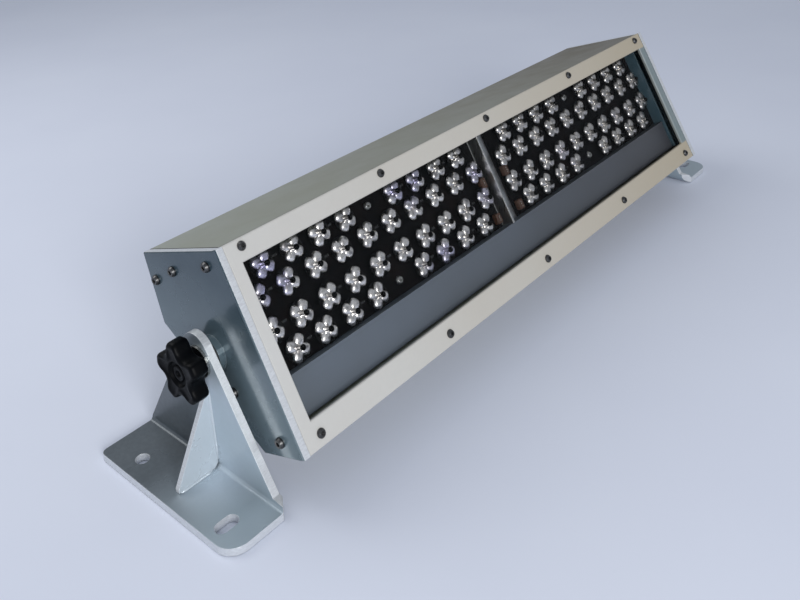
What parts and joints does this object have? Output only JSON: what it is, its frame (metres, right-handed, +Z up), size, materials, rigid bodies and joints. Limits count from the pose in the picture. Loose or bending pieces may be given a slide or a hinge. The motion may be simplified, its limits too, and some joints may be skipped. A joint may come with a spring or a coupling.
{
  "type": "led flood light",
  "caption": "Long box-shaped LED flood light head, tilted on two foot brackets with gussets and black star knobs.",
  "frame": {"origin": "on the mounting surface, midway between the rear bolt holes of the two feet", "axes": "+X along the head towards its right end, -Y towards the side that the lit face looks to, +Z up from the mounting surface"},
  "size_m": [0.722, 0.1706, 0.1743],
  "materials": {
    "bezel_paint": "satin powder coat",
    "board_black": "solder mask",
    "bracket_paint": "satin powder coat",
    "chip_phosphor": "phosphor",
    "cover_paint": "satin powder coat",
    "cup_black": "moulded",
    "disc_plastic": "moulded",
    "divider_aluminium": "bare",
    "driver_case": "bare",
    "end_paint": "satin powder coat",
    "gland_plastic": "moulded",
    "glass_clear": "clear tempered",
    "housing_paint": "satin powder coat",
    "insert_brass": "turned",
    "knob_plastic": "moulded, fine texture",
    "lens_clear": "clear moulded",
    "liner_paint": "satin powder coat",
    "screw_steel": "passivated",
    "seal_rubber": "matt",
    "spreader_aluminium": "bare",
    "stud_steel": "plated",
    "terminal_plastic": "moulded"
  },
  "bodies": {
    "left_bracket": {"bracket_left": "bracket_paint", "gusset_left": "bracket_paint"},
    "lamp_head": {"bezel_screws": "screw_steel", "bezel_seal": "seal_rubber", "breather_plug": "gland_plastic", "driver_left": "driver_case", "driver_right": "driver_case", "driver_screws": "screw_steel", "end_plate_left": "end_paint", "end_plate_right": "end_paint", "end_plate_screws": "screw_steel", "end_seal_left": "seal_rubber", "end_seal_right": "seal_rubber", "friction_disc_left": "disc_plastic", "friction_disc_right": "disc_plastic", "front_bezel": "bezel_paint", "front_glass": "glass_clear", "gland_body": "gland_plastic", "gland_dome": "gland_plastic", "gland_locknut": "gland_plastic", "gland_seal": "seal_rubber", "heat_spreader": "spreader_aluminium", "housing_extrusion": "housing_paint", "led_board_left": "board_black", "led_board_right": "board_black", "led_chips_left": "chip_phosphor", "led_chips_right": "chip_phosphor", "lens_cups_left": "cup_black", "lens_cups_right": "cup_black", "lenses_left": "lens_clear", "lenses_right": "lens_clear", "lower_cover": "cover_paint", "module_divider": "divider_aluminium", "module_screws": "screw_steel", "pivot_stud_left": "stud_steel", "pivot_stud_right": "stud_steel", "side_liner_left": "liner_paint", "side_liner_right": "liner_paint", "terminal_block": "terminal_plastic"},
    "right_bracket": {"bracket_right": "bracket_paint", "gusset_right": "bracket_paint"},
    "left_knob": {"knob_left": "knob_plastic", "knob_insert_left": "insert_brass", "knob_washer_left": "stud_steel"},
    "right_knob": {"knob_right": "knob_plastic", "knob_insert_right": "insert_brass", "knob_washer_right": "stud_steel"}
  },
  "joints": [
    {"name": "head_tilt", "type": "hinge", "parent": "left_bracket", "child": "lamp_head", "pos_m": [-0.3115, -0.044, 0.09], "axis": [1, 0, 0], "range_deg": [-110, 38]},
    {"name": "right_bracket_swing", "type": "hinge", "parent": "lamp_head", "child": "right_bracket", "pos_m": [0.3115, -0.044, 0.09], "axis": [1, 0, 0], "range_deg": [-38, 110]},
    {"name": "left_knob_turn", "type": "hinge", "parent": "lamp_head", "child": "left_knob", "pos_m": [-0.325, -0.044, 0.09], "axis": [-1, 0, 0], "continuous": true},
    {"name": "right_knob_turn", "type": "hinge", "parent": "lamp_head", "child": "right_knob", "pos_m": [0.325, -0.044, 0.09], "axis": [1, 0, 0], "continuous": true}
  ],
  "couplings": [
    {"joint": "right_bracket_swing", "follows": "head_tilt", "ratio": -1}
  ]
}
